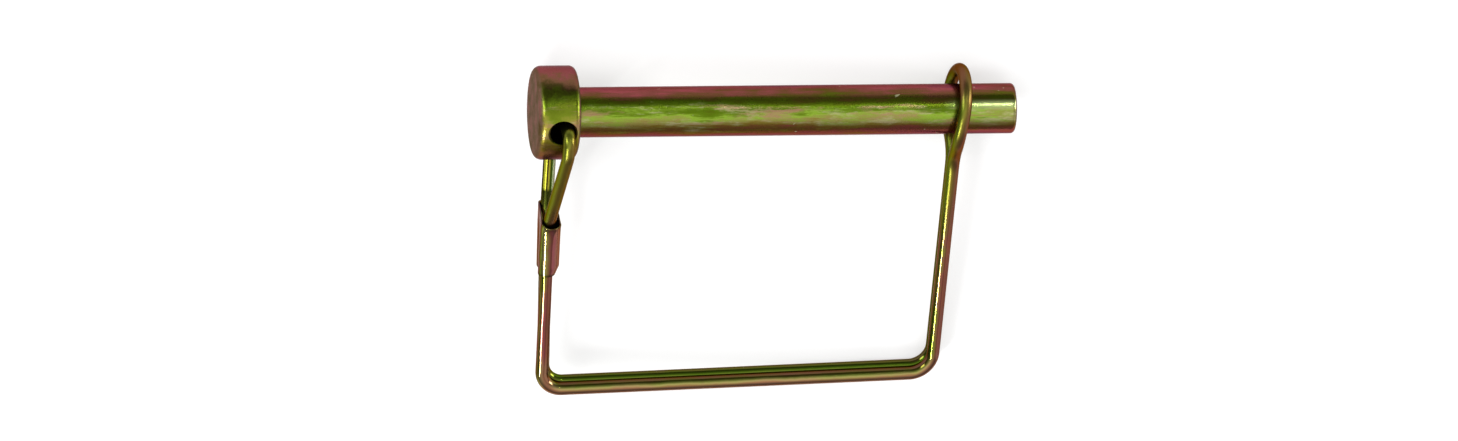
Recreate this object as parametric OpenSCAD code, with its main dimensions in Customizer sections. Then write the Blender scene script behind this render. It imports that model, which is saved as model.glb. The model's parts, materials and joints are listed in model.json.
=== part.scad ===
// Square wire lock pin. A drum-headed pin is closed by a bail, one spring wire bent double:
// it turns in the head's cross hole, forks round the head, runs as two strands round a square
// and ends in an eye that snaps over the pin's tip. A ferrule covers the joint of the wire.
// The pin is built along X with the bail in the XY plane, then laid on Z = 0 as it comes to rest.

/* [Pin] */
// Diameter of the shank
shank_d = 9.525; // [6:0.025:12]
// Length from the underside of the head to the middle of the eye
grip_len = 73.7; // [50:0.1:110]
// Length of the tip beyond the middle of the eye
tip_proud = 10.1; // [6:0.1:20]
// Rounding of the tip's edge
tip_edge = 0.8; // [0.3:0.1:1.5]
// Fillet between the shank and the head
neck_fillet = 0.6; // [0.2:0.1:1.2]
// Diameter of the drum head
head_d = 17.8; // [15:0.1:22]
// Length of the drum head
head_len = 8; // [7.5:0.1:11]
// Rounding of the head's outer edge
head_edge = 1.5; // [0.5:0.1:2]
// Rounding of the head's edge on the shank side
shoulder_edge = 1.2; // [0.5:0.1:1.5]
// Diameter of the cross hole
hole_d = 4.8; // [4.2:0.1:5.4]
// Distance from the head's end face to the middle of the cross hole
hole_setback = 4.55; // [3.8:0.05:4.8]
// Chamfer at the mouths of the cross hole
hole_chamfer = 0.15; // [0.05:0.05:0.4]

/* [Wire] */
// Diameter of the spring wire
wire_d = 2.4; // [1.8:0.1:2.8]
// Distance between the centres of the two strands
strand_pitch = 3.4; // [3:0.1:4]
// Gap between the wire and the wall of the cross hole, on the side that it is pulled against
hole_gap = 0.2; // [0.1:0.05:0.4]
// Gap between each strand and the side of the head
head_gap = 0.4; // [0.3:0.05:1]
// Loss of the wire's radius in a bend
bend_thinning = 0.015; // [0.005:0.005:0.05]
// Gap between the two ends of the wire, inside the ferrule
butt_gap = 0.3; // [0.1:0.1:1]

/* [Bail] */
// Depth of the bail below the pin's axis, to its corner on the head side
bail_drop = 58; // [45:0.1:80]
// Distance that the eye-side corner stands higher than the head-side corner
eye_corner_rise = 2.9; // [0:0.1:5]
// Distance that the eye-side corner stands nearer to the head than the eye does
eye_corner_in = 2.35; // [0:0.05:5]
// Distance of the head-side corner from the hinge line, along the pin
head_corner_out = -0.25; // [-3:0.05:3]
// Turn of the strand pair about the leg at the head-side corner
head_corner_lay = 14; // [0:1:20]
// Turn of the strand pair about the leg at the eye-side corner
eye_corner_lay = 5; // [0:0.5:15]
// Bend radius of the head-side corner, on the wire's centre line
head_corner_r = 3.8; // [3:0.1:7]
// Bend radius of the eye-side corner, on the wire's centre line
eye_corner_r = 4.6; // [3:0.1:7]

/* [Fork] */
// Length of each strand's straight run beside the head, from the hinge line
fork_straight = 4.2; // [4:0.1:6]
// Depth below the pin's axis where the two strands meet
fork_drop = 23; // [20:0.1:30]
// Distance that the meeting point lies behind the hinge line
fork_back = 1.4; // [0:0.1:2]
// Bend radius where the wire leaves the cross hole
elbow_r = 2.2; // [2:0.1:2.4]
// Bend radius where the strands turn in below the head
fork_r = 4; // [3:0.5:8]
// Bend radius where the strands meet
meet_r = 6; // [3:0.5:10]

/* [Eye] */
// Gap between the shank and each side of the eye
eye_gap = 0.7; // [0.6:0.05:1.5]
// Gap between the shank and the crown of the eye
crown_gap = 1.55; // [1:0.05:5]
// Depth below the pin's axis where the strands start to spread
spread_drop = 9.5; // [9:0.1:14]
// Depth below the pin's axis where the eye's sides become parallel
foot_drop = 3.5; // [3:0.1:4.5]
// Distance that the strands stand nearer to the head than the crown where they start to spread
spread_in = 0.85; // [0:0.05:2]
// Distance that the eye's foot stands nearer to the head than the crown
foot_in = 1.45; // [0:0.05:2.5]
// Turn of the eye about the leg
eye_lay = -3; // [-10:0.5:0]
// Bend radius at the eye's root and foot
spread_r = 8; // [4:0.5:9]

/* [Ferrule] */
// Thickness of the ferrule's sheet
ferrule_wall = 0.35; // [0.3:0.05:0.6]
// Gap between the strands and the ferrule
ferrule_gap = 0.08; // [0.05:0.01:0.15]
// Spare room in the ferrule on the inner side of the bail
ferrule_bulge = 0.8; // [0.5:0.05:1.5]
// Distance of the ferrule's mouth below the meeting point of the strands
mouth_drop = 0.1; // [0:0.1:2]
// Height of the tongue that the mouth leaves at its lower, outer corner
tongue_rise = 2.5; // [0:0.1:3]
// Length of the ferrule below the meeting point of the strands
ferrule_drop = 10.2; // [7:0.1:14]
// Length of the lip that closes the ferrule's lower end on the wire
lip_len = 1.6; // [1:0.1:3]
// Depth of the crimp pressed into the ferrule's flat sides, between the strands
crimp_dip = 0.3; // [0:0.05:0.5]

/* [Hidden] */
$fn = 96;
overlap = 0.5;
bend_bite = 0.06;
bend_steps = 12;
floor_rounds = 4;
crown_share = 0.99;

shank_r = shank_d / 2;
head_r = head_d / 2;
hole_r = hole_d / 2;
wire_r = wire_d / 2;

// Places along the pin, from the hinge line: the wire's straight run through the cross hole
hole_x = hole_gap + wire_r - hole_r;
head_start = hole_x - hole_setback;
head_end = head_start + head_len;
eye_x = head_end + grip_len;
tip_x = eye_x + tip_proud;

// Half widths of the wire's route, across the plane of the bail
side_z = head_r + head_gap + wire_r;
pair_z = strand_pitch / 2;
eye_z = shank_r + eye_gap + wire_r;
crown_y = shank_r + crown_gap + wire_r;

function unit(v) = v / norm(v);

// A strand's place at one station of the bail: side is 1 on top and -1 underneath
function beside(x, y, half, lay, side) = [x - side * half * sin(lay), y, side * half * cos(lay)];

function strand(side) = [
    [0, 0, side * side_z],
    [0, -fork_straight, side * side_z],
    beside(-fork_back, -fork_drop, pair_z, 0, side),
    beside(head_corner_out, -bail_drop, pair_z, head_corner_lay, side),
    beside(eye_x - eye_corner_in, eye_corner_rise - bail_drop, pair_z, eye_corner_lay, side),
    beside(eye_x - spread_in, -spread_drop, pair_z, eye_corner_lay, side),
    beside(eye_x - foot_in, -foot_drop, eye_z, eye_lay, side),
    beside(eye_x, crown_y, eye_z, eye_lay, side)
];
crown_r = crown_share * eye_z;
strand_bends = [elbow_r, fork_r, meet_r, head_corner_r, eye_corner_r, spread_r, spread_r, crown_r];
upper = strand(1);
lower = strand(-1);
meet_index = 2;
corner_index = meet_index + 1;
crown_index = len(upper) - 1;

// The wire's whole route, from one butted end inside the ferrule round to the other
leg_dir = unit(upper[corner_index] - upper[meet_index]);
butt = upper[meet_index] + leg_dir * ferrule_drop / 2;
route = concat(
    [butt + leg_dir * butt_gap / 2],
    [for (i = [corner_index:crown_index]) upper[i]],
    [for (i = [crown_index:-1:0]) lower[i]],
    [for (i = [0:meet_index]) upper[i]],
    [butt - leg_dir * butt_gap / 2]
);
bends = concat(
    [0],
    [for (i = [corner_index:crown_index]) strand_bends[i]],
    [for (i = [crown_index:-1:0]) strand_bends[i]],
    [for (i = [0:meet_index]) strand_bends[i]],
    [0]
);
last = len(route) - 1;

// One bend of the route: the wire arrives along heading, turns by angle towards inward
function heading(i) = unit(route[i + 1] - route[i]);
function bend_angle(i) = acos(heading(i - 1) * heading(i));
function setback(i) = i == 0 || i == last ? 0 : bends[i] * tan(bend_angle(i) / 2);
function inward(i) = unit(heading(i) - (heading(i - 1) * heading(i)) * heading(i - 1));
function bend_centre(i) = route[i] - setback(i) * heading(i - 1) + bends[i] * inward(i);
function on_bend(i, a) = bend_centre(i) + bends[i] * (sin(a) * heading(i - 1) - cos(a) * inward(i));
function bend_points(i) = [for (k = [0:bend_steps]) on_bend(i, bend_angle(i) * k / bend_steps)];

// The floor under the part: the plane through the lowest wire at the head, the eye and a corner
upper_count = crown_index - corner_index + 1;
function station(i) = 1 + upper_count + crown_index - i;
function all_bends(list) = [for (i = list) each bend_points(i)];
head_feet = all_bends([station(0), station(1)]);
eye_feet = all_bends([station(crown_index - 1), station(crown_index)]);
corner_feet = all_bends([station(corner_index), station(corner_index + 1)]);
function lowest(points, up) = let (h = [for (p = points) p * up]) points[search(min(h), h)[0]];
function floor_up(up, rounds) = rounds < 1 ? up : let (
    a = lowest(head_feet, up),
    b = lowest(eye_feet, up),
    c = lowest(corner_feet, up),
    n = unit(cross(b - a, c - a))
) floor_up(n.z < 0 ? -n : n, rounds - 1);
rest_z = floor_up([0, 0, 1], floor_rounds);
rest_x = unit([1, 0, 0] - rest_z.x * rest_z);
rest_y = cross(rest_z, rest_x);

// Outermost reach of the laid part along a direction, for centring it over the origin
wire_points = all_bends([1:last - 1]);
function wire_reach(d) = max([for (p = wire_points) p * d]) + wire_r;
function edge_reach(x, r, d) = x * d.x + r * sqrt(1 - d.x * d.x);
head_reach = edge_reach(head_start + head_edge, head_r - head_edge, -rest_x) + head_edge;
tip_reach = edge_reach(tip_x - tip_edge, shank_r - tip_edge, rest_x) + tip_edge;
drum_reach = edge_reach(head_start + head_edge, head_r - head_edge, rest_y) + head_edge;
centre_x = (tip_reach - head_reach) / 2;
centre_y = (max(wire_reach(rest_y), drum_reach) - wire_reach(-rest_y)) / 2;
floor_z = -wire_reach(-rest_z);

module lay_down() {
    multmatrix([
        concat(rest_x, -centre_x),
        concat(rest_y, -centre_y),
        concat(rest_z, -floor_z)
    ]) children();
}

// Half section of a bar of revolution with both edges rounded
module rounded_bar(r, length, start_edge, end_edge) {
    translate([0, start_edge]) square([r, length - start_edge - end_edge]);
    square([r - start_edge, length - end_edge]);
    translate([0, start_edge]) square([r - end_edge, length - start_edge]);
    translate([r - start_edge, start_edge]) circle(start_edge);
    translate([r - end_edge, length - end_edge]) circle(end_edge);
}

module pin_section() {
    translate([0, head_start]) rounded_bar(head_r, head_len, head_edge, shoulder_edge);
    translate([0, hole_x]) rounded_bar(shank_r, tip_x - hole_x, tip_edge, tip_edge);
    translate([shank_r, head_end]) difference() {
        translate([-overlap, -overlap]) square(neck_fillet + overlap);
        translate([neck_fillet, neck_fillet]) circle(neck_fillet);
    }
}

// The cross hole, opened by a chamfer where it breaks through the drum
module cross_hole() {
    brink = sqrt(head_r * head_r - hole_r * hole_r) - hole_chamfer;
    flare = head_r - brink + overlap;
    translate([hole_x, 0, 0]) {
        cylinder(r = hole_r, h = head_d + 2 * overlap, center = true);
        for (side = [0, 1]) mirror([0, 0, side]) {
            translate([0, 0, brink]) cylinder(r1 = hole_r, r2 = hole_r + flare, h = flare);
        }
    }
}

module pin() {
    color("#b3a83c") lay_down() difference() {
        rotate([0, 90, 0]) rotate_extrude() pin_section();
        cross_hole();
    }
}

// A straight run of the wire, let into the bend at each of its ends
module straight(i) {
    d = heading(i);
    from = route[i] + d * (setback(i) - (i == 0 ? 0 : bend_bite));
    to = route[i + 1] - d * (setback(i + 1) - (i + 1 == last ? 0 : bend_bite));
    translate(from) rotate([0, acos(d.z), atan2(d.y, d.x)]) cylinder(r = wire_r, h = norm(to - from));
}

// A bend of the wire, drawn thinner by the stretch of the metal
module elbow(i) {
    out = -inward(i);
    along = heading(i - 1);
    axis = cross(out, along);
    centre = bend_centre(i);
    multmatrix([for (k = [0:2]) [out[k], along[k], axis[k], centre[k]]])
        rotate_extrude(angle = bend_angle(i)) translate([bends[i], 0]) circle(wire_r - bend_thinning);
}

module wire_bail() {
    color("#8f8a35") lay_down() {
        for (i = [0:last - 1]) straight(i);
        for (i = [1:last - 1]) elbow(i);
    }
}

// The ferrule is lofted through oval sections along the leg. At a distance s below the meeting
// point the oval is as deep as the spread of the strands, and as wide as one wire, with the bulge
// on its inner side, and it leans with the strands as they turn in.
meet = [-fork_back, -fork_drop, 0];
corner = [head_corner_out, -bail_drop, 0];
leg = unit(corner - meet);
across = [-leg.y, leg.x, 0];
spread = (side_z - pair_z) / (fork_drop - fork_straight);
lean = fork_back / (fork_drop - fork_straight) + (corner.x - meet.x) / (meet.y - corner.y);
fork_angle = atan(spread);
easing = meet_r * tan(fork_angle / 2);
ring_sides = 40;
ring_steps = 10;
tongue_turn = 225;
tongue_focus = 1.5;

function ease(s) = (sqrt(s * s + easing * easing) - s) / 2;
function half_depth(s) = pair_z + wire_r / cos(fork_angle) + ferrule_gap + spread * ease(s);
function lip(s) = max(0, (s - ferrule_drop + lip_len) / lip_len);
function leg_lay(s) = head_corner_lay * max(0, s) / norm(corner - meet);
function oval(q, half_w, half_d) = let (
    z = half_d * sin(q),
    over = max(0, abs(z) - half_d + half_w)
) [sign(cos(q)) * sqrt(max(0, half_w * half_w - over * over)), z];
function crimp(t, z) = abs(z) < pair_z ? crimp_dip * sin(90 * min(1, 2 * t)) * pow(cos(90 * z / pair_z), 2) : 0;

// One ring of the loft: t runs from 0 at the mouth to 1 at the lip, rim pushes the edge outwards
function ring(t, wall, rim) = let (
    s = mouth_drop + t * (ferrule_drop - mouth_drop),
    room = ferrule_bulge * (1 - lip(s)),
    lay = leg_lay(s)
) [for (k = [0:ring_sides - 1]) let (
    q = 360 * k / ring_sides,
    h = s - (1 - t) * tongue_rise * pow((1 + cos(q - tongue_turn)) / 2, tongue_focus),
    half_w = wire_r + ferrule_gap + wall + (cos(q) > 0 ? room : 0),
    p = oval(q, half_w, half_depth(h) + wall),
    x = p.x + lean * ease(h) - sign(p.x) * crimp(t, p.y),
    w = x * cos(lay) - p.y * sin(lay),
    d = x * sin(lay) + p.y * cos(lay)
) meet + leg * (h + rim) + across * w + [0, 0, d]];

module ferrule() {
    rim = ferrule_wall / 3;
    rings = concat(
        [for (j = [0:ring_steps]) ring(j / ring_steps, ferrule_wall, 0)],
        [ring(1, ferrule_wall / 2, rim)],
        [for (j = [ring_steps:-1:0]) ring(j / ring_steps, 0, 0)],
        [ring(0, ferrule_wall / 2, -rim)]
    );
    n = ring_sides;
    m = len(rings);
    color("#b8a648") lay_down() polyhedron(
        points = [for (r = rings) each r],
        faces = [for (j = [0:m - 1], k = [0:n - 1]) let (
            j2 = (j + 1) % m,
            k2 = (k + 1) % n
        ) [j * n + k, j * n + k2, j2 * n + k2, j2 * n + k]]
    );
}

pin();
wire_bail();
ferrule();
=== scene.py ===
import json
import math

import bpy
import numpy as np
from mathutils import Matrix, Vector


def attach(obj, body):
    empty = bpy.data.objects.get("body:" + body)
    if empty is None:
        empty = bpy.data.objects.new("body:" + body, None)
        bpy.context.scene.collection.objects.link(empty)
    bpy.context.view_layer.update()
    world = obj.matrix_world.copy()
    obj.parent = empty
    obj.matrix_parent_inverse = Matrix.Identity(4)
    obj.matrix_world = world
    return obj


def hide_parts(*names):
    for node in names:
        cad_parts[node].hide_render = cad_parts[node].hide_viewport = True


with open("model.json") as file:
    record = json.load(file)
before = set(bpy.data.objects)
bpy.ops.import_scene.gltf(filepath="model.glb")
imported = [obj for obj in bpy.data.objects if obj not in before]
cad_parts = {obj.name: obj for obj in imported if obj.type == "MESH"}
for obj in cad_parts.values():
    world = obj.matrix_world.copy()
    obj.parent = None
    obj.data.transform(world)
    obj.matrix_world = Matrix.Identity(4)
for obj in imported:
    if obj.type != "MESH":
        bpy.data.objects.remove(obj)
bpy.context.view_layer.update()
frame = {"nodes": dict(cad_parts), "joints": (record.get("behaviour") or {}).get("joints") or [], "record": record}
metresPerMm = 0.001

# the pin's own axes in the row frame: along the shank, from the bail towards the pin, out of the bail's plane
hinge = frame["joints"][0]
hingePoint = np.array(hinge["pos_m"])
alongPin = np.array(frame["record"]["mounts"][0]["axis"])
outOfBail = -np.array(hinge["axis"])
towardsPin = np.cross(outOfBail, alongPin)
print("frame loaded, nodes:", sorted(frame["nodes"]))


def onPin(x, y, z):  # a direction in the pin's own axes, turned into the row frame
    return x * alongPin + y * towardsPin + z * outOfBail


def inRow(points):  # millimetres on the pin's own axes, from the hinge, to metres in the row frame
    return hingePoint + metresPerMm * points @ np.array([alongPin, towardsPin, outOfBail])


def paint(code):  # hex sRGB to linear RGBA
    c = np.array([int(code[i:i + 2], 16) for i in (0, 2, 4)]) / 255
    linear = np.where(c <= 0.04045, c / 12.92, ((c + 0.055) / 1.055) ** 2.4)
    return (*linear.tolist(), 1.0)


# camera at the photograph's angle: turned, tipped over the bail's plane and slightly rolled
shot = {
    "turn": 9.9, "tip": 27.05, "roll": 3.98,  # degrees
    "width": 1458, "height": 441, "hingeAt": (562.05, 112.5), "pxPerMm": 5.30,  # in the photo's pixels
    "distance": 1.2, "clip": (0.01, 20),  # metres
}


def placeCamera():  # a parallel view, aimed so that the hinge falls on its own pixel
    a, e, r = (math.radians(shot[key]) for key in ("turn", "tip", "roll"))
    back = onPin(-math.cos(e) * math.sin(a), math.sin(e), math.cos(e) * math.cos(a))
    flatRight = onPin(math.cos(a), 0, math.sin(a))
    flatUp = onPin(math.sin(e) * math.sin(a), math.cos(e), -math.sin(e) * math.cos(a))
    right = flatRight * math.cos(r) + flatUp * math.sin(r)
    up = flatUp * math.cos(r) - flatRight * math.sin(r)
    pixel = metresPerMm / shot["pxPerMm"]
    toMiddle = (shot["width"] / 2 - shot["hingeAt"][0]) * pixel
    toTop = (shot["hingeAt"][1] - shot["height"] / 2) * pixel
    stand = hingePoint + right * toMiddle + up * toTop + back * shot["distance"]
    data = bpy.data.cameras.new("photoCamera")
    data.type = "ORTHO"
    data.sensor_fit = "HORIZONTAL"
    data.ortho_scale = shot["width"] * pixel
    data.clip_start, data.clip_end = shot["clip"]
    cam = bpy.data.objects.new("photoCamera", data)
    turned = Matrix(np.array([right, up, back]).T.tolist()).to_4x4()
    cam.matrix_world = Matrix.Translation(Vector(stand)) @ turned
    bpy.context.scene.collection.objects.link(cam)
    bpy.context.scene.camera = cam


placeCamera()
print("camera placed")

# the bail's wire as one smooth tube along the solid's own route, in millimetres on the pin's own axes
forkHalf = 10.5  # half the spread of the two strands: beside the head, along the bail, round the shank
pairHalf = 1.7
eyeHalf = 6.6625
eyeAlong = 76.15  # from the hinge to the middle of the eye
wireRun = {
    "radius": 1.2, "sides": 40, "bendSteps": 22, "stride": 1.5,
    "meet": 2, "buttDrop": 5.1, "buttGap": 0.3,  # station where the strands meet, the wire's ends below it
    # from the head to the eye: along the pin, across it, half the spread, lay in degrees, bend radius
    "stations": [
        (0.0, 0.0, forkHalf, 0, 2.2),  # out of the cross hole
        (0.0, -4.2, forkHalf, 0, 4.0),  # beside the head
        (-1.4, -23.0, pairHalf, 0, 6.0),  # where the strands meet
        (-0.25, -58.0, pairHalf, 14, 3.8),  # head-side corner
        (eyeAlong - 2.35, -55.1, pairHalf, 5, 4.6),  # eye-side corner
        (eyeAlong - 0.85, -9.5, pairHalf, 5, 8.0),  # root of the eye
        (eyeAlong - 1.45, -3.5, eyeHalf, -3, 8.0),  # foot of the eye
        (eyeAlong, 7.5125, eyeHalf, -3, 6.596),  # crown of the eye
    ],
}


def unit(v):
    return v / np.linalg.norm(v)


def surface(name, rings, closed):  # quads on a grid of rings that is closed on itself, or capped at both ends
    count, sides = rings.shape[:2]
    here = np.arange(count if closed else count - 1)[:, None] * sides
    there = (here + sides) % (count * sides)
    k = np.arange(sides)
    beside = (k + 1) % sides
    quads = np.stack([here + k, here + beside, there + beside, there + k], axis=-1).reshape(-1, 4)
    caps = [] if closed else [k[::-1].tolist(), (k + (count - 1) * sides).tolist()]
    mesh = bpy.data.meshes.new(name)
    mesh.from_pydata(inRow(rings.reshape(-1, 3)).tolist(), [], quads.tolist() + caps)
    mesh.polygons.foreach_set("use_smooth", [True] * len(quads) + [False] * len(caps))
    piece = bpy.data.objects.new(name, mesh)
    bpy.context.scene.collection.objects.link(piece)
    return piece


def strand(side):  # each station's point, half its spread to the near (1) or far (-1) side, turned by its lay
    along, across, half, lay = np.array(wireRun["stations"]).T[:4]
    lay = np.radians(lay)
    return np.column_stack([along - side * half * np.sin(lay), across, side * half * np.cos(lay)])


def straight(start, end):  # even shares of the way from start to end, each about one stride long
    steps = max(2, round(np.linalg.norm(end - start) / wireRun["stride"]))
    share = np.arange(1, steps + 1)[:, None] / steps
    return start + (end - start) * share, np.tile(unit(end - start), (steps, 1))


def corner(before, point, after, r):
    # an arc round its centre: the radius times the turn's sine along arrive, less its cosine along inward
    arrive = unit(point - before)
    leave = unit(after - point)
    turn = math.acos(arrive @ leave)
    inward = unit(leave - (arrive @ leave) * arrive)
    start = point - r * math.tan(turn / 2) * arrive
    a = np.linspace(0, turn, wireRun["bendSteps"])[1:, None]
    centre = start + r * inward
    arc = centre + r * (np.sin(a) * arrive - np.cos(a) * inward)
    return start, arc, np.cos(a) * arrive + np.sin(a) * inward


def wireCentreLine():  # straights and arcs by turns, from one end inside the ferrule round to the other
    near = strand(1)
    far = strand(-1)
    meet = wireRun["meet"]
    bends = np.array(wireRun["stations"])[:, -1]
    legDir = unit(near[meet + 1] - near[meet])
    butt = near[meet] + legDir * wireRun["buttDrop"]
    gap = legDir * wireRun["buttGap"] / 2
    route = [butt + gap, *near[meet + 1:], *far[::-1], *near[:meet + 1], butt - gap]
    radii = [*bends[meet + 1:], *bends[::-1], *bends[:meet + 1]]
    points = [route[:1]]
    headings = [[unit(route[1] - route[0])]]
    for before, point, after, r in zip(route, route[1:], route[2:], radii):
        start, arc, arcHeadings = corner(before, point, after, r)
        run, runHeadings = straight(points[-1][-1], start)
        points += [run, arc]
        headings += [runHeadings, arcHeadings]
    run, runHeadings = straight(points[-1][-1], route[-1])
    return np.concatenate([*points, run]), np.concatenate([*headings, runHeadings])


def carriedAlong(headings):  # a normal for each heading: the one before it, less its part along the heading
    normals = np.empty_like(headings)
    normal = np.array([1.0, 0.0, 0.0])
    for k, heading in enumerate(headings):
        normal = unit(normal - (normal @ heading) * heading)
        normals[k] = normal
    return normals


def drawWire():  # rings round the centre line: the radius times cosine along the normal and sine sideways
    line, headings = wireCentreLine()
    normals = carriedAlong(headings)
    sideways = np.cross(headings, normals)
    a = np.linspace(0, 2 * math.pi, wireRun["sides"], endpoint=False)[:, None]
    spokes = np.cos(a) * normals[:, None] + np.sin(a) * sideways[:, None]
    return surface("bent_wire", line[:, None] + wireRun["radius"] * spokes, closed=False)


# the ferrule as a smooth loft through the solid's own oval sections, in millimetres and degrees
sleeve = {
    "wall": 0.35, "gap": 0.08, "bulge": 0.8, "mouth": 0.1, "drop": 10.2, "lip": 1.6, "crimp": 0.3,
    "tongueRise": 2.5, "tongueTurn": 225, "tongueFocus": 1.5, "sides": 144, "steps": 56,
    "rimShare": 1 / 3,  # how far the cut edges bulge, as a share of the wall
    "edgeShadeReach": 0.06,  # share of the length over which the painted shade along a cut edge fades
    "mouthShade": 0.6,  # strength of that painted shade at the mouth, where the lip's is 1
}


def ferruleSkin(t, wall, rim):
    # at each share t of the length an oval round both strands: the point where they meet,
    # plus h down the leg, w across it and d out of the bail's plane
    meet = wireRun["meet"]
    beside, meeting, low = wireRun["stations"][meet - 1:meet + 2]
    x0, y0, wide = beside[:3]
    x1, y1, half, _, meetBend = meeting
    x2, y2, _, lowLay, _ = low
    legLen = math.hypot(x2 - x1, y2 - y1)
    leg = np.array([x2 - x1, y2 - y1, 0.0]) / legLen
    across = np.array([-leg[1], leg[0], 0.0])
    out = np.array([0.0, 0.0, 1.0])
    # the fork opens above that point by these slopes, eased in by the wire's bend
    spread = (wide - half) / (y0 - y1)
    lean = (x0 - x1) / (y0 - y1) + (x2 - x1) / (y1 - y2)
    forkAngle = math.atan(spread)
    easing = meetBend * math.tan(forkAngle / 2)
    # s runs down the leg from the mouth (t = 0) to the lip (t = 1), and h is s with the mouth's tongue
    t = np.reshape(t, (-1, 1))
    q = np.linspace(0, 2 * math.pi, sleeve["sides"], endpoint=False)
    s = sleeve["mouth"] + t * (sleeve["drop"] - sleeve["mouth"])
    tongue = ((1 + np.cos(q - math.radians(sleeve["tongueTurn"]))) / 2) ** sleeve["tongueFocus"]
    h = s - (1 - t) * sleeve["tongueRise"] * tongue
    ease = (np.sqrt(h * h + easing * easing) - h) / 2
    # oval: half circles of radius halfW on the two ends of a slot that is halfD deep, roomier inside the bail
    room = sleeve["bulge"] * (1 - np.maximum(0, (s - sleeve["drop"] + sleeve["lip"]) / sleeve["lip"]))
    halfW = wireRun["radius"] + sleeve["gap"] + wall + np.where(np.cos(q) > 0, room, 0)
    halfD = half + wireRun["radius"] / math.cos(forkAngle) + sleeve["gap"] + spread * ease + wall
    z = halfD * np.sin(q)
    over = np.maximum(0, np.abs(z) - halfD + halfW)
    x = np.sign(np.cos(q)) * np.sqrt(np.maximum(0, halfW ** 2 - over ** 2))
    # pressed in between the strands, leaning with the fork and turned with the strands' lay
    fromMouth = np.sin(math.pi / 2 * np.minimum(1, 2 * t))
    pressed = np.cos(np.clip(z / half, -1, 1) * math.pi / 2) ** 2 * fromMouth
    x = x + lean * ease - np.sign(x) * sleeve["crimp"] * pressed
    lay = math.radians(lowLay) * np.maximum(0, s) / legLen
    w = x * np.cos(lay) - z * np.sin(lay)
    d = x * np.sin(lay) + z * np.cos(lay)
    h, w, d = (part[..., None] for part in (h + rim, w, d))
    return np.array([x1, y1, 0.0]) + h * leg + w * across + d * out


def drawFerrule():  # down the outer skin, round the lower edge, up the inner skin and round the mouth's edge
    wall = sleeve["wall"]
    rim = sleeve["rimShare"] * wall
    t = np.linspace(0, 1, sleeve["steps"])
    skins = [(t, wall, 0), (1, wall / 2, rim), (t[::-1], 0, 0), (0, wall / 2, -rim)]
    rings = np.concatenate([ferruleSkin(*skin) for skin in skins])
    piece = surface("crimped_sleeve", rings, closed=True)
    # the attribute rim carries painted shade: it rises to 1 along the lower cut edge, and less along the mouth
    mouthShade = sleeve["mouthShade"] * np.clip(1 - t / sleeve["edgeShadeReach"], 0, 1)
    lipShade = np.clip(1 - (1 - t) / sleeve["edgeShadeReach"], 0, 1)
    cut = np.maximum(mouthShade, lipShade)
    shadeOnRings = np.concatenate([cut, [1], cut[::-1], [sleeve["mouthShade"]]])
    attribute = piece.data.attributes.new("rim", "FLOAT", "POINT")
    attribute.data.foreach_set("value", np.repeat(shadeOnRings, sleeve["sides"]))
    return piece


bentWire = drawWire()
crimpedSleeve = drawFerrule()
for piece, node in ((bentWire, "wire_bail"), (crimpedSleeve, "ferrule")):
    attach(piece, "bail_body")
    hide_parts(node)
print("wire and ferrule drawn")


# node helpers, most of which hand back the socket that carries their result
def freshMaterial(name):
    mat = bpy.data.materials.new(name)
    mat.use_nodes = True
    return mat, mat.node_tree, mat.node_tree.nodes["Principled BSDF"]


def addNode(tree, kind, links=None, **values):
    node = tree.nodes.new(kind)
    for key, value in values.items():
        setattr(node, key, value)
    for socket, source in (links or {}).items():
        if isinstance(source, bpy.types.NodeSocket):
            tree.links.new(source, node.inputs[socket])
        else:
            node.inputs[socket].default_value = source
    return node


def calc(tree, operation, a, b=0.0, c=0.0):
    return addNode(tree, "ShaderNodeMath", {0: a, 1: b, 2: c}, operation=operation).outputs[0]


def times(tree, *factors):
    product = factors[0]
    for factor in factors[1:]:
        product = calc(tree, "MULTIPLY", product, factor)
    return product


def vectorCalc(tree, operation, a, b, output="Vector"):
    return addNode(tree, "ShaderNodeVectorMath", {0: a, 1: b}, operation=operation).outputs[output]


def dot(tree, vector, direction):
    return vectorCalc(tree, "DOT_PRODUCT", vector, direction, "Value")


def fromHinge(tree, place, direction):  # metres from the hinge in one direction
    return calc(tree, "SUBTRACT", dot(tree, place, direction), float(hingePoint @ direction))


def between(tree, value, reach, low=0.0, high=1.0):  # low at the first end of the reach, high at the other
    links = {0: value, 1: reach[0], 2: reach[1], 3: low, 4: high}
    return addNode(tree, "ShaderNodeMapRange", links).outputs[0]


def ramp(tree, factor, stops):  # eased through the stops, each a place with a colour code or a plain value
    node = addNode(tree, "ShaderNodeValToRGB", {"Fac": factor})
    node.color_ramp.interpolation = "EASE"
    while len(node.color_ramp.elements) < len(stops):
        node.color_ramp.elements.new(0.5)
    for element, (at, colour) in zip(node.color_ramp.elements, stops):
        element.position = at
        element.color = paint(colour) if isinstance(colour, str) else (colour, colour, colour, 1)
    return node.outputs["Color"]


def blend(tree, factor, a, b):
    return addNode(tree, "ShaderNodeMix", {0: factor, 6: a, 7: b}, data_type="RGBA").outputs[2]


def noise(tree, vector, texture):  # texture: scale, detail, roughness
    links = dict(zip(("Scale", "Detail", "Roughness"), texture))
    return addNode(tree, "ShaderNodeTexNoise", {"Vector": vector, **links}).outputs["Fac"]


def stretched(tree, vector, axis, squeeze):  # squeezes a pattern along one axis, so that it runs in streaks
    shift = calc(tree, "MULTIPLY", dot(tree, vector, axis), squeeze - 1)
    back = addNode(tree, "ShaderNodeVectorMath", {0: axis, 3: shift}, operation="SCALE").outputs["Vector"]
    return vectorCalc(tree, "ADD", vector, back)


def wobble(tree, value, pattern, reach):  # shifts a value by up to reach / 2 either way
    return calc(tree, "ADD", value, calc(tree, "MULTIPLY_ADD", pattern, reach, -reach / 2))


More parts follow.
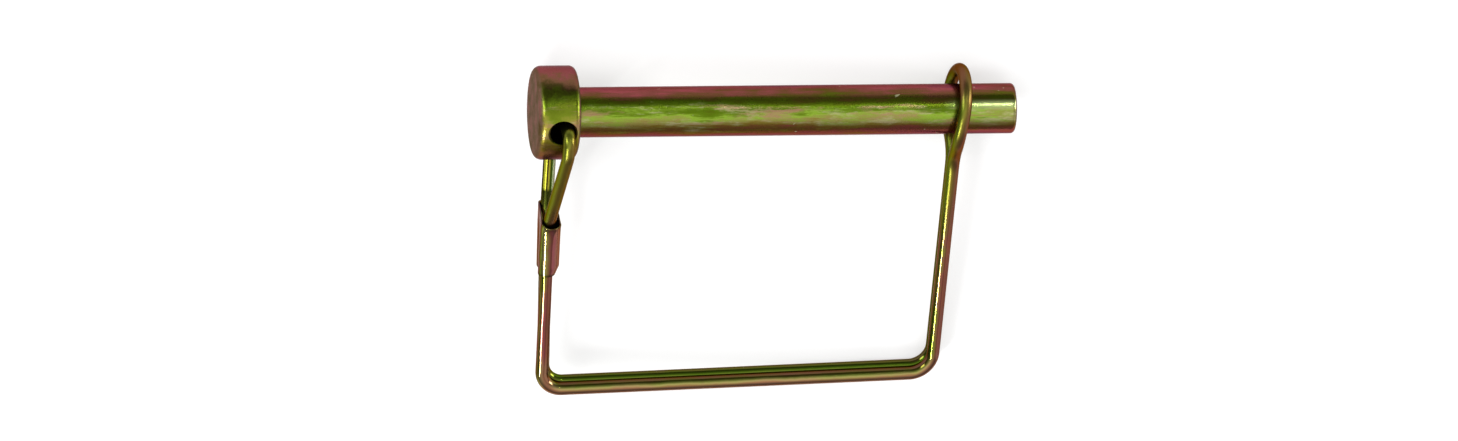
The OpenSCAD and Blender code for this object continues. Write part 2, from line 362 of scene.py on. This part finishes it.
def zincFilm(tree, shader, look, colour, place, dull=None):  # bright metal with a fine grain under its colour
    grain = noise(tree, place, look["grain"])
    low, high = look["roughness"]
    rough = calc(tree, "MULTIPLY_ADD", grain, high - low, low)
    if dull is not None:
        rough = calc(tree, "MULTIPLY_ADD", dull, look["dulled"], rough)
    bumpLinks = {"Height": grain, "Strength": look["bump"], "Distance": look["grainDepth"]}
    bump = addNode(tree, "ShaderNodeBump", bumpLinks).outputs["Normal"]
    tree.links.new(colour, shader.inputs["Base Color"])
    tree.links.new(rough, shader.inputs["Roughness"])
    tree.links.new(bump, shader.inputs["Normal"])
    shader.inputs["Metallic"].default_value = 1.0
    shader.inputs["Specular Tint"].default_value = paint(look["edge"])


# the pin's passivated zinc: a film that runs from plum through green and straw back to plum round the shank
# the film's dark green bands and its bright lime and straw stops are partly painted reflection of darker and
# brighter surroundings, laid round the axis from the side that faces the camera
plum = "74384a"
rose = "8c4448"
lime = "7c9830"
straw = "847a40"
pinFinish = {
    "shank": [(0.00, plum), (0.12, rose), (0.19, "76403a"), (0.25, "64422a"), (0.31, "54481a"),
              (0.37, "4c5610"), (0.46, "50680f"), (0.52, "5e761a"), (0.57, lime), (0.615, "7e8838"),
              (0.665, straw), (0.72, "786826"), (0.78, "765228"), (0.85, "86463a"), (0.93, "84404a"),
              (1.00, plum)],
    "head": [(0.00, plum), (0.10, "84464c"), (0.20, "7e4444"), (0.26, "6a4a34"), (0.31, "43391a"),
             (0.36, "434c12"), (0.41, "566a16"), (0.47, "5e6c18"), (0.51, "66741c"), (0.55, "7c7e2c"),
             (0.60, "8c842e"), (0.66, "988e36"), (0.72, "8c8424"), (0.79, "7c6824"), (0.87, "785434"),
             (1.00, plum)],
    "filmUp": (0, 0.888, -0.46), "filmFront": (0, 0.46, 0.888), "headReach": (0.0026, 0.0031),
    # noise textures are scale, detail and roughness
    "streaks": (380, 6, 0.75), "streakSqueeze": 0.10, "streakReach": 0.70,
    "clouds": (90, 4, 0.6), "headClouds": (240, 4, 0.6), "cloudReach": 0.34,
    "smears": [("a09a70", (430, 6, 0.75), [(0.50, 0.0), (0.64, 1.0)]),
               ("967058", (240, 6, 0.75), [(0.48, 0.0), (0.62, 1.0)])],
    "smearSqueeze": 0.22, "smearSide": [(0.44, 0.0), (0.52, 0.8), (0.66, 0.8), (0.76, 0.0)],
    # pale top of the tip: painted highlight, partly wear
    "tipWearAndGlint": "a8b478", "tipWearAndGlintReach": (0.072, 0.080),
    "tipWearAndGlintSide": [(0.37, 0.0), (0.42, 0.7), (0.47, 0.7), (0.54, 0.0)],
    "scratch": "c8c8a0", "scratches": (1100, 2, 0.5), "scratchCut": [(0.735, 0.0), (0.78, 0.7)],
    "scratchAlong": (0.76, 0.55, -0.35), "scratchSqueeze": 0.15,
    "endFace": [(0.40, "54482c"), (0.49, "665240"), (0.60, "7c584e")], "endClouds": (260, 6, 0.7),
    "endTurn": [(0.45, 0.0), (0.85, 1.0)],
    # painted shade inside the cross hole
    "boreShade": "14120a", "boreBack": 0.001, "boreEdge": (0.002424, 0.002496),
    "tipReach": (0.060, 0.080), "tipPolish": 0.50,
    "grain": (2600, 3, 0.6), "grainDepth": 0.0001, "bump": 0.16, "roughness": (0.19, 0.42), "dulled": 0.20,
    "edge": "c8b4b0",
}


def finishPin():
    look = pinFinish
    mat, tree, shader = freshMaterial("zincPin")
    coords = addNode(tree, "ShaderNodeTexCoord")
    place = coords.outputs["Object"]
    normal = coords.outputs["Normal"]
    station = fromHinge(tree, place, alongPin)
    # film phase: half a turn round the axis is one run through the colours, warped by streaks along the shank
    upwards = dot(tree, normal, onPin(*look["filmUp"]))
    forwards = dot(tree, normal, onPin(*look["filmFront"]))
    evenPhase = calc(tree, "MULTIPLY_ADD", calc(tree, "ARCTAN2", upwards, forwards), -1 / math.pi, 0.5)
    streaks = noise(tree, stretched(tree, place, alongPin, look["streakSqueeze"]), look["streaks"])
    phase = wobble(tree, evenPhase, streaks, look["streakReach"])
    phase = wobble(tree, phase, noise(tree, place, look["clouds"]), look["cloudReach"])
    phase = calc(tree, "FRACT", phase)
    headPhase = wobble(tree, evenPhase, noise(tree, place, look["headClouds"]), look["cloudReach"])
    onHead = between(tree, station, look["headReach"], 1.0, 0.0)
    colour = blend(tree, onHead, ramp(tree, phase, look["shank"]), ramp(tree, headPhase, look["head"]))
    # dull smears where the film was rubbed, only along the bright side
    smearSide = ramp(tree, phase, look["smearSide"])
    drawn = stretched(tree, place, alongPin, look["smearSqueeze"])
    for tint, texture, cut in look["smears"]:
        rubbed = ramp(tree, noise(tree, drawn, texture), cut)
        colour = blend(tree, times(tree, rubbed, smearSide), colour, paint(tint))
    # a pale band along the top of the tip: painted highlight where the lamp's streak falls, partly wear from the
    # eye
    tipWearAndGlint = times(tree, ramp(tree, evenPhase, look["tipWearAndGlintSide"]), between(tree, station, look["tipWearAndGlintReach"]))
    colour = blend(tree, tipWearAndGlint, colour, paint(look["tipWearAndGlint"]))
    # a few short scratches across the streaks
    slant = stretched(tree, place, onPin(*look["scratchAlong"]), look["scratchSqueeze"])
    scratch = ramp(tree, noise(tree, slant, look["scratches"]), look["scratchCut"])
    colour = blend(tree, scratch, colour, paint(look["scratch"]))
    # both end faces are duller, olive and mauve
    onFace = ramp(tree, calc(tree, "ABSOLUTE", dot(tree, normal, alongPin)), look["endTurn"])
    colour = blend(tree, onFace, colour, ramp(tree, noise(tree, place, look["endClouds"]), look["endFace"]))
    # painted shade: the cross hole is painted dark inside
    fromHole = vectorCalc(tree, "SUBTRACT", place, hingePoint - look["boreBack"] * alongPin)
    flat = stretched(tree, fromHole, outOfBail, 0.0)
    off = addNode(tree, "ShaderNodeVectorMath", {0: flat}, operation="LENGTH").outputs["Value"]
    colour = blend(tree, between(tree, off, look["boreEdge"], 1.0, 0.0), colour, paint(look["boreShade"]))
    polished = between(tree, station, look["tipReach"], 0.0, look["tipPolish"])
    zincFilm(tree, shader, look, colour, place, calc(tree, "SUBTRACT", onFace, polished))
    return mat


# what the films of the wire and the ferrule share
bailFilm = {
    "filmAcross": (0.92, -0.89, 0.45), "clouds": (150, 4, 0.6), "cloudReach": 0.40,
    "rubs": (420, 4, 0.65), "rubCut": [(0.58, 0.0), (0.72, 0.5)],
    "grain": (2000, 3, 0.6), "grainDepth": 0.0001, "bump": 0.012, "roughness": (0.06, 0.15),
    "edge": "c0a898",
}

# the wire's film: reaches are in metres, legSide and below on the row's X and Y, the others from the hinge
wireFinish = {
    **bailFilm,
    "green": [(0.00, "64403c"), (0.10, "64482c"), (0.24, "3f5010"), (0.40, "56701a"), (0.54, "788032"),
              (0.66, "74682e"), (0.80, "7c4c38"), (1.00, "704844")],
    "rose": [(0.00, "744048"), (0.14, "744240"), (0.27, "5c4c22"), (0.40, "8a7448"), (0.54, "94604e"),
             (0.70, "88464a"), (0.86, "7a4836"), (1.00, "684236")],
    "legSide": (-0.034, -0.040), "below": (0.008, -0.002),
    "nearSide": (-0.0006, 0.0006), "rosyLeg": (-0.033, -0.041),
    "patches": (95, 3, 0.6), "patchCut": [(0.44, 0.0), (0.62, 0.7)],
    "rub": "74483c", "farGreenAndShade": "3e5410", "farShare": 0.5, "dulled": 0.22,
    # near strand of the bottom run: paler just below its middle, partly painted highlight
    "run": [(0.00, "5a4430"), (0.25, "4c4c14"), (0.40, "6e7034"), (0.56, "948656"), (0.72, "906c46"),
            (0.87, "8c6e56"), (1.00, "7c5a48")],
    "runReach": (-0.050, -0.053), "runShare": 0.65,
    # fork and eye
    "upper": [(0.00, "5c5020"), (0.20, "5a681c"), (0.42, "6c6e26"), (0.64, "706428"), (0.84, "705a30"),
              (1.00, "744c38")],
    "upperShare": 0.85, "calmPhase": 0.45, "calmShare": 0.6,
    "crown": "724438", "crownReach": (0.0035, 0.0085), "crownShare": 0.65,
    # far strand of the fork: bright lines of painted highlight, and painted shadow near the ferrule
    "farForkGlints": [(0.06, "1e240a"), (0.13, "b8b83c"), (0.26, "b8b83c"), (0.31, "30240c"), (0.40, "30240c"),
                (0.45, "b4ac3c"), (0.53, "9c9430"), (0.58, "2c3c0c"), (0.72, "3c5014"), (0.80, "8c9070")],
    "farForkShadow": "1e240a", "farForkReach": (-0.0010, -0.0016), "farForkLit": (-0.0182, -0.0176),
}


def acrossFilm(tree, normal, look):  # half of one plus the normal's part along filmAcross
    return calc(tree, "MULTIPLY_ADD", dot(tree, normal, onPin(*look["filmAcross"])), 0.5, 0.5)


def finishWire():
    look = wireFinish
    mat, tree, shader = freshMaterial("zincWire")
    coords = addNode(tree, "ShaderNodeTexCoord")
    place = coords.outputs["Object"]
    evenPhase = acrossFilm(tree, coords.outputs["Normal"], look)
    phase = wobble(tree, evenPhase, noise(tree, place, look["clouds"]), look["cloudReach"])
    rowAxes = addNode(tree, "ShaderNodeSeparateXYZ", {0: place}).outputs
    depth = fromHinge(tree, place, outOfBail)
    drop = fromHinge(tree, place, towardsPin)
    legSide = between(tree, rowAxes["X"], look["legSide"])
    below = between(tree, rowAxes["Y"], look["below"])
    nearSide = between(tree, depth, look["nearSide"])
    above = calc(tree, "SUBTRACT", 1.0, below)
    # rosier down the head-side leg and in patches elsewhere; the far strand darker green, partly its film and
    # partly painted shade
    patch = ramp(tree, noise(tree, place, look["patches"]), look["patchCut"])
    rosyLeg = times(tree, legSide, between(tree, drop, look["rosyLeg"]))
    rosy = times(tree, calc(tree, "MAXIMUM", rosyLeg, patch), below, nearSide)
    colour = blend(tree, rosy, ramp(tree, phase, look["green"]), ramp(tree, phase, look["rose"]))
    rubbed = times(tree, ramp(tree, noise(tree, place, look["rubs"]), look["rubCut"]), nearSide)
    colour = blend(tree, rubbed, colour, paint(look["rub"]))
    # painted shade, partly the film's green: the far strand darkened
    farStrand = times(tree, calc(tree, "SUBTRACT", 1.0, nearSide), below, look["farShare"])
    colour = blend(tree, farStrand, colour, paint(look["farGreenAndShade"]))
    nearRun = times(tree, between(tree, drop, look["runReach"]), nearSide, look["runShare"])
    colour = blend(tree, nearRun, colour, ramp(tree, phase, look["run"]))
    # evenly olive round the head and the shank
    fork = times(tree, legSide, above)
    calmLinks = {0: times(tree, fork, look["calmShare"]), 2: phase, 3: look["calmPhase"]}
    calm = addNode(tree, "ShaderNodeMix", calmLinks).outputs[0]
    colour = blend(tree, times(tree, above, look["upperShare"]), colour, ramp(tree, calm, look["upper"]))
    # painted highlights as bright lines on the fork's far strand, painted shadow where it nears the ferrule, and a
    # brown crown on the eye
    lit = between(tree, drop, look["farForkLit"])
    glintsAndShadow = blend(tree, lit, paint(look["farForkShadow"]), ramp(tree, evenPhase, look["farForkGlints"]))
    colour = blend(tree, times(tree, fork, between(tree, depth, look["farForkReach"])), colour, glintsAndShadow)
    crown = between(tree, drop, look["crownReach"], 0.0, look["crownShare"])
    colour = blend(tree, crown, colour, paint(look["crown"]))
    zincFilm(tree, shader, look, colour, place, above)
    return mat


# the ferrule's film: greener at the mouth, rosier towards the lip, with a painted highlight in the pale stops of
# both ramps
ferruleFinish = {
    **bailFilm,
    "green": [(0.00, "7c5464"), (0.10, "70504a"), (0.22, "5c5c1c"), (0.34, "8c8c44"), (0.45, "b4b06c"),
              (0.56, "868044"), (0.66, "76683a"), (0.76, "784838"), (0.86, "884c48"), (1.00, "8c5c4e")],
    "rose": [(0.00, "7c5464"), (0.10, "74504c"), (0.22, "545a1c"), (0.34, "848c40"), (0.45, "b8a878"),
             (0.56, "8e8648"), (0.66, "847640"), (0.75, "785c38"), (0.83, "824a40"), (0.91, "884c50"),
             (1.00, "8c5c4e")],
    "below": (0.010, -0.004),  # on the row's Y
    # the cut edges' dark colour is painted shade
    "rub": "805048", "cutEdgeShade": "2e2a10",
}


def finishFerrule():
    look = ferruleFinish
    mat, tree, shader = freshMaterial("zincSheet")
    coords = addNode(tree, "ShaderNodeTexCoord")
    place = coords.outputs["Object"]
    evenPhase = acrossFilm(tree, coords.outputs["Normal"], look)
    phase = wobble(tree, evenPhase, noise(tree, place, look["clouds"]), look["cloudReach"])
    below = between(tree, addNode(tree, "ShaderNodeSeparateXYZ", {0: place}).outputs["Y"], look["below"])
    colour = blend(tree, below, ramp(tree, phase, look["green"]), ramp(tree, phase, look["rose"]))
    rubbed = ramp(tree, noise(tree, place, look["rubs"]), look["rubCut"])
    colour = blend(tree, rubbed, colour, paint(look["rub"]))
    # painted shade along the cut edges, strongest under the lip
    rim = addNode(tree, "ShaderNodeAttribute", attribute_name="rim").outputs["Fac"]
    colour = blend(tree, rim, colour, paint(look["cutEdgeShade"]))
    zincFilm(tree, shader, look, colour, place)
    return mat


def dress(piece, mat):
    piece.data.materials.clear()
    piece.data.materials.append(mat)


dress(frame["nodes"]["pin"], finishPin())
dress(bentWire, finishWire())
dress(crimpedSleeve, finishFerrule())
print("finishes on")

studio = {
    "floor": "bcbcbc", "floorSize": 8.0, "floorGlow": 0.52, "floorRoughness": 0.9,
    # brightness of the sky by height
    "sky": [(0.0, 0.28), (0.34, 0.31), (0.64, 0.48), (0.82, 0.90), (0.94, 1.4), (1.0, 1.5)],
    # direction on the pin's own axes, distance, width and depth in metres, watts
    "lamps": {
        "stripBox": ((0.225, 0.706, 0.682), 0.8, (0.03, 0.026), 0.26),
        "legBox": ((-0.575, -0.455, 0.675), 0.8, (0.016, 0.4), 3.0),
        "leftBox": ((-0.77, 0.46, 0.44), 0.8, (0.26, 0.40), 3.2),
        "rightBox": ((0.92, 0.30, 0.24), 0.8, (0.26, 0.40), 3.2),
        "fillBox": ((0.88, -0.30, 0.36), 0.9, (0.6, 0.9), 1.2),
    },
}


def paleRays(tree):  # 1 where the camera looks, directly or in a mirror or a glass
    rays = addNode(tree, "ShaderNodeLightPath").outputs
    seen = calc(tree, "MAXIMUM", rays["Is Camera Ray"], rays["Is Glossy Ray"])
    return calc(tree, "MAXIMUM", seen, rays["Is Transmission Ray"])


def layFloor():
    s = studio["floorSize"] / 2
    mesh = bpy.data.meshes.new("floor")
    mesh.from_pydata([(-s, -s, 0), (s, -s, 0), (s, s, 0), (-s, s, 0)], [], [(0, 1, 2, 3)])
    floor = bpy.data.objects.new("floor", mesh)
    bpy.context.scene.collection.objects.link(floor)
    mat, tree, shader = freshMaterial("paleFloor")
    shader.inputs["Base Color"].default_value = paint(studio["floor"])
    shader.inputs["Roughness"].default_value = studio["floorRoughness"]
    shader.inputs["Specular IOR Level"].default_value = 0.0
    shader.inputs["Emission Color"].default_value = (1, 1, 1, 1)
    tree.links.new(times(tree, paleRays(tree), studio["floorGlow"]), shader.inputs["Emission Strength"])
    mesh.materials.append(mat)


def hangSoftbox(name, direction, distance, size, power):  # a rectangle of light that faces the origin
    data = bpy.data.lights.new(name, "AREA")
    data.shape = "RECTANGLE"
    data.size, data.size_y = size
    data.energy = power
    lamp = bpy.data.objects.new(name, data)
    towards = Vector(onPin(*direction)).normalized()
    lamp.location = towards * distance
    lamp.rotation_mode = "QUATERNION"
    lamp.rotation_quaternion = (-towards).to_track_quat("-Z", "Y")
    bpy.context.scene.collection.objects.link(lamp)


def lightSky():  # brighter towards the top
    world = bpy.data.worlds.new("studioWorld")
    bpy.context.scene.world = world
    world.use_nodes = True
    tree = world.node_tree
    direction = addNode(tree, "ShaderNodeTexCoord").outputs["Generated"]
    height = addNode(tree, "ShaderNodeSeparateXYZ", {0: direction}).outputs["Z"]
    tree.links.new(ramp(tree, height, studio["sky"]), tree.nodes["Background"].inputs["Color"])


layFloor()
lightSky()
for name, lamp in studio["lamps"].items():
    hangSoftbox(name, *lamp)
bpy.context.scene.view_settings.view_transform = "Standard"
print("studio lit")
